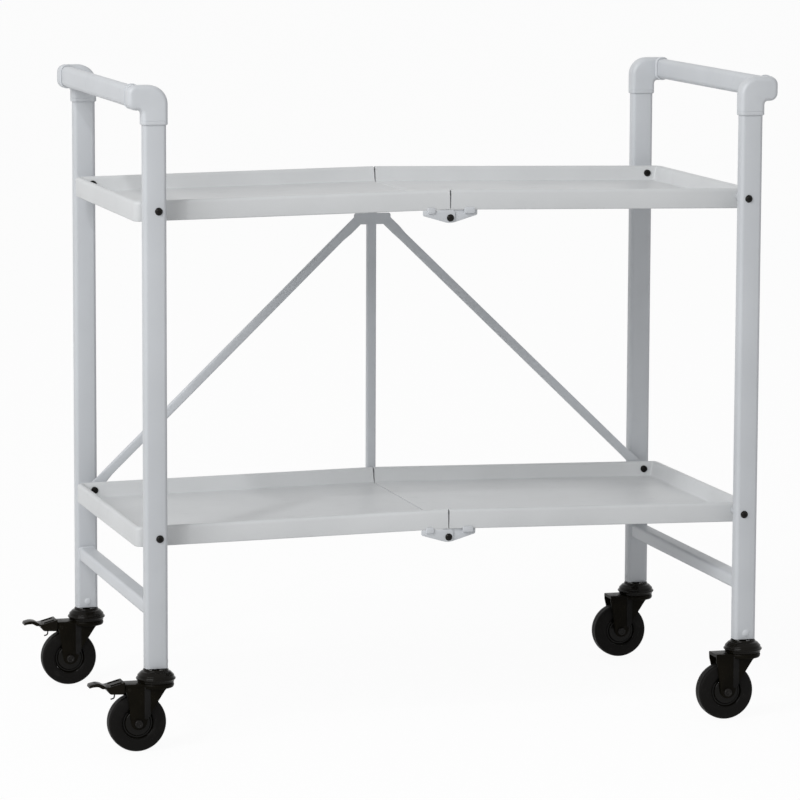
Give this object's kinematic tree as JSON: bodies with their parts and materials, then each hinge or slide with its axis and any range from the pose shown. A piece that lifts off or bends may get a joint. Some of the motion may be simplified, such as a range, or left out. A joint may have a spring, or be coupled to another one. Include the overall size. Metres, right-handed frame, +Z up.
{
  "type": "bar cart",
  "caption": "Folding two-tier serving cart: hinged trays between leg frames with corner handles, cross-braced at the back, on swivel casters with foot brakes.",
  "frame": {"origin": "on the floor, under the centre of the whole cart's bounding box", "axes": "+X along the cart towards the end without brakes, +Y from the front to the back where the bar and braces are, +Z up"},
  "size_m": [0.9008, 0.484, 0.8352],
  "materials": {
    "powder_coat": "satin silver-grey powder coat on steel",
    "elbow_plastic": "silver-grey moulded plastic",
    "black_steel": "black oxide screws and bolts",
    "black_plastic": "black caster parts",
    "tyre_rubber": "black rubber tread",
    "plated_steel": "zinc plate"
  },
  "bodies": {
    "left_frame": {"leg_front_left": "powder_coat", "leg_rear_left": "powder_coat", "crossbar_left": "powder_coat", "handle_left": "powder_coat", "elbow_front_left": "elbow_plastic", "elbow_rear_left": "elbow_plastic", "upper_pin_front_left": "black_steel", "upper_pin_rear_left": "black_steel", "lower_pin_front_left": "black_steel", "lower_pin_rear_left": "black_steel", "caster_stem_front_left": "plated_steel", "caster_stem_rear_left": "plated_steel", "caster_cap_front_left": "black_plastic", "caster_cap_rear_left": "black_plastic"},
    "right_frame": {"leg_front_right": "powder_coat", "leg_rear_right": "powder_coat", "crossbar_right": "powder_coat", "handle_right": "powder_coat", "elbow_front_right": "elbow_plastic", "elbow_rear_right": "elbow_plastic", "upper_pin_front_right": "black_steel", "upper_pin_rear_right": "black_steel", "lower_pin_front_right": "black_steel", "lower_pin_rear_right": "black_steel", "caster_stem_front_right": "plated_steel", "caster_stem_rear_right": "plated_steel", "caster_cap_front_right": "black_plastic", "caster_cap_rear_right": "black_plastic"},
    "upper_left_half": {"upper_tray_left": "powder_coat", "upper_hinge_bolt_front": "black_steel", "upper_hinge_bolt_rear": "black_steel"},
    "upper_right_half": {"upper_tray_right": "powder_coat"},
    "lower_left_half": {"lower_tray_left": "powder_coat", "lower_hinge_bolt_front": "black_steel", "lower_hinge_bolt_rear": "black_steel"},
    "lower_right_half": {"lower_tray_right": "powder_coat"},
    "middle_bar": {"centre_bar": "powder_coat"},
    "slider": {"brace_slider": "powder_coat"},
    "left_brace": {"brace_left": "powder_coat"},
    "right_brace": {"brace_right": "powder_coat"},
    "front_left_swivel": {"fork_front_left": "black_plastic", "axle_front_left": "black_steel"},
    "front_left_wheel": {"hub_front_left": "black_plastic", "tyre_front_left": "tyre_rubber"},
    "front_left_brake": {"brake_lever_front_left": "black_plastic", "brake_spring_front_left": "plated_steel"},
    "front_right_swivel": {"fork_front_right": "black_plastic", "axle_front_right": "black_steel"},
    "front_right_wheel": {"hub_front_right": "black_plastic", "tyre_front_right": "tyre_rubber"},
    "rear_left_swivel": {"fork_rear_left": "black_plastic", "axle_rear_left": "black_steel"},
    "rear_left_wheel": {"hub_rear_left": "black_plastic", "tyre_rear_left": "tyre_rubber"},
    "rear_left_brake": {"brake_lever_rear_left": "black_plastic", "brake_spring_rear_left": "plated_steel"},
    "rear_right_swivel": {"fork_rear_right": "black_plastic", "axle_rear_right": "black_steel"},
    "rear_right_wheel": {"hub_rear_right": "black_plastic", "tyre_rear_right": "tyre_rubber"}
  },
  "joints": [
    {"name": "upper_left_half_fold", "type": "hinge", "parent": "left_frame", "child": "upper_left_half", "pos_m": [-0.3601, 0, 0.678], "axis": [0, -1, 0], "range_deg": [0, 84.5]},
    {"name": "upper_middle_hinge", "type": "hinge", "parent": "upper_left_half", "child": "upper_right_half", "pos_m": [0.0259, 0, 0.6582], "axis": [0, 1, 0], "range_deg": [0, 169]},
    {"name": "right_frame_pivot", "type": "hinge", "parent": "upper_right_half", "child": "right_frame", "pos_m": [0.4119, 0, 0.678], "axis": [0, -1, 0], "range_deg": [0, 84.5]},
    {"name": "lower_left_half_fold", "type": "hinge", "parent": "left_frame", "child": "lower_left_half", "pos_m": [-0.3601, 0, 0.2688], "axis": [0, -1, 0], "range_deg": [0, 84.5]},
    {"name": "lower_middle_hinge", "type": "hinge", "parent": "lower_left_half", "child": "lower_right_half", "pos_m": [0.0259, 0, 0.249], "axis": [0, 1, 0], "range_deg": [0, 169]},
    {"name": "middle_bar_pivot", "type": "hinge", "parent": "upper_left_half", "child": "middle_bar", "pos_m": [0.0259, 0, 0.6582], "axis": [0, 1, 0], "range_deg": [0, 84.5]},
    {"name": "slider_travel", "type": "slide", "parent": "middle_bar", "child": "slider", "axis": [0, 0, -1], "range_m": [0, 0.24713]},
    {"name": "left_brace_pivot", "type": "hinge", "parent": "left_frame", "child": "left_brace", "pos_m": [-0.3601, 0.19, 0.2688], "axis": [0, -1, 0], "range_deg": [0, 41.91]},
    {"name": "right_brace_pivot", "type": "hinge", "parent": "right_frame", "child": "right_brace", "pos_m": [0.4119, 0.19, 0.2688], "axis": [0, 1, 0], "range_deg": [0, 41.91]},
    {"name": "front_left_swivel_turn", "type": "hinge", "parent": "left_frame", "child": "front_left_swivel", "pos_m": [-0.3641, -0.217, 0.087], "axis": [0, 0, 1], "continuous": true},
    {"name": "front_left_wheel_spin", "type": "hinge", "parent": "front_left_swivel", "child": "front_left_wheel", "pos_m": [-0.3891, -0.217, 0.037], "axis": [0, 1, 0], "continuous": true},
    {"name": "front_left_brake_press", "type": "hinge", "parent": "front_left_swivel", "child": "front_left_brake", "pos_m": [-0.4006, -0.217, 0.0805], "axis": [0, -1, 0], "range_deg": [0, 10]},
    {"name": "front_right_swivel_turn", "type": "hinge", "parent": "right_frame", "child": "front_right_swivel", "pos_m": [0.4159, -0.217, 0.087], "axis": [0, 0, 1], "continuous": true},
    {"name": "front_right_wheel_spin", "type": "hinge", "parent": "front_right_swivel", "child": "front_right_wheel", "pos_m": [0.3909, -0.217, 0.037], "axis": [0, 1, 0], "continuous": true},
    {"name": "rear_left_swivel_turn", "type": "hinge", "parent": "left_frame", "child": "rear_left_swivel", "pos_m": [-0.3641, 0.217, 0.087], "axis": [0, 0, 1], "continuous": true},
    {"name": "rear_left_wheel_spin", "type": "hinge", "parent": "rear_left_swivel", "child": "rear_left_wheel", "pos_m": [-0.3891, 0.217, 0.037], "axis": [0, 1, 0], "continuous": true},
    {"name": "rear_left_brake_press", "type": "hinge", "parent": "rear_left_swivel", "child": "rear_left_brake", "pos_m": [-0.4006, 0.217, 0.0805], "axis": [0, -1, 0], "range_deg": [0, 10]},
    {"name": "rear_right_swivel_turn", "type": "hinge", "parent": "right_frame", "child": "rear_right_swivel", "pos_m": [0.4159, 0.217, 0.087], "axis": [0, 0, 1], "continuous": true},
    {"name": "rear_right_wheel_spin", "type": "hinge", "parent": "rear_right_swivel", "child": "rear_right_wheel", "pos_m": [0.3909, 0.217, 0.037], "axis": [0, 1, 0], "continuous": true}
  ],
  "couplings": [
    {"joint": "upper_middle_hinge", "follows": "upper_left_half_fold", "ratio": 2},
    {"joint": "right_frame_pivot", "follows": "upper_left_half_fold", "ratio": 1},
    {"joint": "lower_left_half_fold", "follows": "upper_left_half_fold", "ratio": 1},
    {"joint": "lower_middle_hinge", "follows": "upper_left_half_fold", "ratio": 2},
    {"joint": "middle_bar_pivot", "follows": "upper_left_half_fold", "ratio": 1},
    {"joint": "slider_travel", "follows": "upper_left_half_fold", "m_per_rad": 0.16757},
    {"joint": "left_brace_pivot", "follows": "upper_left_half_fold", "ratio": 0.49601},
    {"joint": "right_brace_pivot", "follows": "upper_left_half_fold", "ratio": 0.49601}
  ]
}
